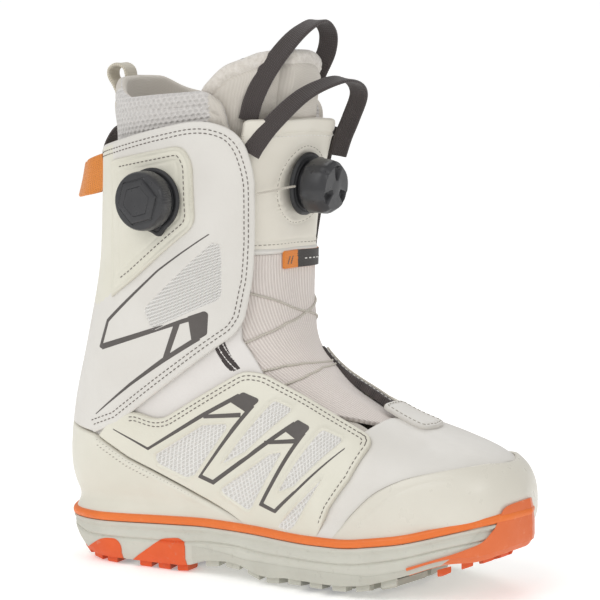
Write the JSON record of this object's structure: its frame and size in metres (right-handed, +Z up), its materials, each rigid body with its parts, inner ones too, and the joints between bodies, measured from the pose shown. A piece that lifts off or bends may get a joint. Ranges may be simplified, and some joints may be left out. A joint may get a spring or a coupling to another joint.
{
  "type": "snowboard boot",
  "caption": "Right-foot snowboard boot with a lugged sole, stitched shell panels, two pull-to-release lace dials, a knit tongue, pull loops and a removable padded liner.",
  "frame": {"origin": "middle of the whole boot's bounding box at the ground", "axes": "+X to the toe, +Y to the inner (medial) side of the foot, +Z up the leg; the side dial is on the outer side, -Y"},
  "size_m": [0.3116, 0.1412, 0.3291],
  "materials": {
    "upper_white": "coated synthetic leather, warm light grey-white, satin",
    "upper_cream": "moulded synthetic panel, cream, satin",
    "knit": "ribbed stretch knit, pinkish off-white",
    "orange_rubber": "orange rubber, semi-matt",
    "sole_rubber": "grey-cream rubber and foam, matt",
    "webbing": "charcoal-brown nylon webbing",
    "webbing_orange": "orange nylon webbing",
    "webbing_beige": "beige woven tape",
    "dial_black": "dark grey nylon, fine matt texture",
    "steel": "plated steel screw and shank",
    "lace": "off-white coated lace cable",
    "liner_mesh": "heather spacer mesh over foam, fleece lined",
    "board": "fibre lasting board",
    "foam": "soft foam"
  },
  "bodies": {
    "root": {"outsole_forefoot": "sole_rubber", "midsole": "sole_rubber", "heel_lug_rear": "orange_rubber", "heel_lug_front": "orange_rubber", "toe_bumper": "orange_rubber", "foxing_band": "orange_rubber", "shank": "steel", "heel_cushion": "foam", "footbed": "foam", "insole_board": "board", "toe_rand": "upper_cream", "vamp": "upper_white", "quarter_lateral": "upper_cream", "quarter_medial": "upper_cream", "heel_counter": "upper_cream", "ankle_panel_lateral": "upper_white", "ankle_panel_medial": "upper_white", "backstay": "upper_cream", "throat_tab": "upper_white", "eyestay_medial": "webbing", "lace_guide_lateral": "webbing", "lace_guide_medial": "webbing", "lace_guide_medial_high": "webbing", "lace_eyestay": "lace", "liner_body": "liner_mesh", "liner_tongue": "knit"},
    "tongue": {"tongue_upper": "upper_cream", "tongue_lower": "knit", "tongue_tag": "webbing", "front_dial_base": "dial_black", "front_dial_housing": "dial_black", "front_dial_axle": "steel", "lace_upper_lateral": "lace", "lace_upper_medial": "lace", "lace_cross_high": "lace", "lace_cross_low": "lace", "lace_instep_rear": "lace", "lace_instep_front": "lace"},
    "cuff_lateral_flap": {"cuff_lateral": "upper_white", "dial_patch": "upper_cream", "lateral_dial_base": "dial_black", "lateral_dial_housing": "dial_black", "lateral_dial_axle": "steel"},
    "cuff_medial_flap": {"cuff_medial": "upper_white"},
    "lateral_dial_carrier": {"lateral_dial_carrier": "dial_black"},
    "lateral_dial_knob": {"lateral_dial_knob": "dial_black"},
    "lateral_dial_spool": {"lateral_dial_spool": "dial_black"},
    "front_dial_carrier": {"front_dial_carrier": "dial_black"},
    "front_dial_knob": {"front_dial_knob": "dial_black"},
    "front_dial_spool": {"front_dial_spool": "dial_black"},
    "front_pull_loop": {"front_pull_loop": "webbing"},
    "liner_pull_loop": {"liner_pull_loop": "webbing"},
    "rear_pull_loop": {"rear_pull_loop": "webbing_orange"},
    "liner_heel_loop": {"liner_heel_loop": "webbing_beige"}
  },
  "joints": [
    {"name": "tongue_tilt", "type": "hinge", "parent": "root", "child": "tongue", "pos_m": [0.0636, 0.01019, 0.098], "axis": [0, 1, 0], "range_deg": [0, 6], "stiffness_Nm_per_rad": 4},
    {"name": "cuff_lateral_open", "type": "hinge", "parent": "root", "child": "cuff_lateral_flap", "pos_m": [-0.0945, -0.04411, 0.17], "axis": [0, 0, -1], "range_deg": [0, 9], "stiffness_Nm_per_rad": 2},
    {"name": "cuff_medial_open", "type": "hinge", "parent": "root", "child": "cuff_medial_flap", "pos_m": [-0.0945, 0.06259, 0.17], "axis": [0, 0, 1], "range_deg": [0, 9], "stiffness_Nm_per_rad": 2},
    {"name": "lateral_dial_pull", "type": "slide", "parent": "cuff_lateral_flap", "child": "lateral_dial_carrier", "axis": [0, -1, 0], "range_m": [0, 0.003]},
    {"name": "lateral_dial_turn", "type": "hinge", "parent": "lateral_dial_carrier", "child": "lateral_dial_knob", "pos_m": [-0.0589, -0.05261, 0.223], "axis": [0, -1, 0], "continuous": true},
    {"name": "lateral_spool_turn", "type": "hinge", "parent": "cuff_lateral_flap", "child": "lateral_dial_spool", "pos_m": [-0.0589, -0.05261, 0.223], "axis": [0, -1, 0], "continuous": true},
    {"name": "front_dial_pull", "type": "slide", "parent": "tongue", "child": "front_dial_carrier", "axis": [0.9962, 0, -0.0872], "range_m": [0, 0.003]},
    {"name": "front_dial_turn", "type": "hinge", "parent": "front_dial_carrier", "child": "front_dial_knob", "pos_m": [0.0051, 0.01219, 0.231], "axis": [0.9962, 0, -0.0872], "continuous": true},
    {"name": "front_spool_turn", "type": "hinge", "parent": "tongue", "child": "front_dial_spool", "pos_m": [0.0051, 0.01219, 0.231], "axis": [0.9962, 0, -0.0872], "continuous": true},
    {"name": "front_loop_fold", "type": "hinge", "parent": "tongue", "child": "front_pull_loop", "pos_m": [0.0116, 0.01019, 0.254], "axis": [0, 1, 0], "range_deg": [0, 35], "stiffness_Nm_per_rad": 0.03},
    {"name": "liner_loop_fold", "type": "hinge", "parent": "root", "child": "liner_pull_loop", "pos_m": [0.0036, 0.01019, 0.282], "axis": [0, 1, 0], "range_deg": [-8, 12], "stiffness_Nm_per_rad": 0.03},
    {"name": "rear_loop_fold", "type": "hinge", "parent": "root", "child": "rear_pull_loop", "pos_m": [-0.1274, 0.01019, 0.234], "axis": [0, 1, 0], "range_deg": [-8, 30], "stiffness_Nm_per_rad": 0.03},
    {"name": "liner_heel_loop_fold", "type": "hinge", "parent": "root", "child": "liner_heel_loop", "pos_m": [-0.1174, 0.00219, 0.278], "axis": [0, 1, 0], "range_deg": [-10, 0], "stiffness_Nm_per_rad": 0.02}
  ],
  "couplings": [
    {"joint": "cuff_lateral_open", "follows": "tongue_tilt", "ratio": 1.5},
    {"joint": "cuff_medial_open", "follows": "tongue_tilt", "ratio": 1.5},
    {"joint": "lateral_spool_turn", "follows": "lateral_dial_turn", "ratio": 1},
    {"joint": "front_spool_turn", "follows": "front_dial_turn", "ratio": 1}
  ]
}
